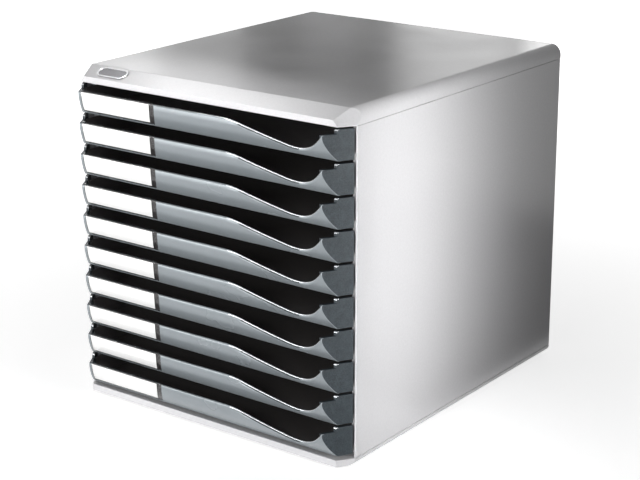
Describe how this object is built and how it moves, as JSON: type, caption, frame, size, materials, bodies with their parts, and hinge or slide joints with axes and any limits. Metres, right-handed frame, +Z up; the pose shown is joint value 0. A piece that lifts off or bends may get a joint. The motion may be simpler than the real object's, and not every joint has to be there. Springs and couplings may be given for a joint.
{
  "type": "desktop file drawer",
  "caption": "Light grey desktop cabinet with a stack of slim slate drawers for A4 papers, each with a label window and a scooped finger edge.",
  "frame": {"origin": "centre of the overall footprint, on the surface that the feet stand on", "axes": "+Z up, the drawers open towards -Y, +X to the right as seen from the front"},
  "size_m": [0.285, 0.3356, 0.2926],
  "materials": {
    "housing_grey": "satin",
    "drawer_slate": "glossy bar, fine-grained cheeks",
    "label_card": "plain card",
    "label_clear": "clear",
    "badge_chrome": "polished",
    "foot_rubber": "matte"
  },
  "bodies": {
    "housing": {"top_cover": "housing_grey", "base_plate": "housing_grey", "side_panel_left": "housing_grey", "side_panel_right": "housing_grey", "back_panel": "housing_grey", "badge_plate": "badge_chrome", "foot_front_left": "foot_rubber", "foot_front_right": "foot_rubber", "foot_rear_left": "foot_rubber", "foot_rear_right": "foot_rubber"},
    "drawer_01": {"drawer_tray_01": "drawer_slate", "label_card_01": "label_card", "label_cover_01": "label_clear"},
    "drawer_02": {"drawer_tray_02": "drawer_slate", "label_card_02": "label_card", "label_cover_02": "label_clear"},
    "drawer_03": {"drawer_tray_03": "drawer_slate", "label_card_03": "label_card", "label_cover_03": "label_clear"},
    "drawer_04": {"drawer_tray_04": "drawer_slate", "label_card_04": "label_card", "label_cover_04": "label_clear"},
    "drawer_05": {"drawer_tray_05": "drawer_slate", "label_card_05": "label_card", "label_cover_05": "label_clear"},
    "drawer_06": {"drawer_tray_06": "drawer_slate", "label_card_06": "label_card", "label_cover_06": "label_clear"},
    "drawer_07": {"drawer_tray_07": "drawer_slate", "label_card_07": "label_card", "label_cover_07": "label_clear"},
    "drawer_08": {"drawer_tray_08": "drawer_slate", "label_card_08": "label_card", "label_cover_08": "label_clear"},
    "drawer_09": {"drawer_tray_09": "drawer_slate", "label_card_09": "label_card", "label_cover_09": "label_clear"},
    "drawer_10": {"drawer_tray_10": "drawer_slate", "label_card_10": "label_card", "label_cover_10": "label_clear"}
  },
  "joints": [
    {"name": "drawer_01_slide", "type": "slide", "parent": "housing", "child": "drawer_01", "axis": [0, -1, 0], "range_m": [0, 0.24]},
    {"name": "drawer_02_slide", "type": "slide", "parent": "housing", "child": "drawer_02", "axis": [0, -1, 0], "range_m": [0, 0.24]},
    {"name": "drawer_03_slide", "type": "slide", "parent": "housing", "child": "drawer_03", "axis": [0, -1, 0], "range_m": [0, 0.24]},
    {"name": "drawer_04_slide", "type": "slide", "parent": "housing", "child": "drawer_04", "axis": [0, -1, 0], "range_m": [0, 0.24]},
    {"name": "drawer_05_slide", "type": "slide", "parent": "housing", "child": "drawer_05", "axis": [0, -1, 0], "range_m": [0, 0.24]},
    {"name": "drawer_06_slide", "type": "slide", "parent": "housing", "child": "drawer_06", "axis": [0, -1, 0], "range_m": [0, 0.24]},
    {"name": "drawer_07_slide", "type": "slide", "parent": "housing", "child": "drawer_07", "axis": [0, -1, 0], "range_m": [0, 0.24]},
    {"name": "drawer_08_slide", "type": "slide", "parent": "housing", "child": "drawer_08", "axis": [0, -1, 0], "range_m": [0, 0.24]},
    {"name": "drawer_09_slide", "type": "slide", "parent": "housing", "child": "drawer_09", "axis": [0, -1, 0], "range_m": [0, 0.24]},
    {"name": "drawer_10_slide", "type": "slide", "parent": "housing", "child": "drawer_10", "axis": [0, -1, 0], "range_m": [0, 0.24]}
  ]
}
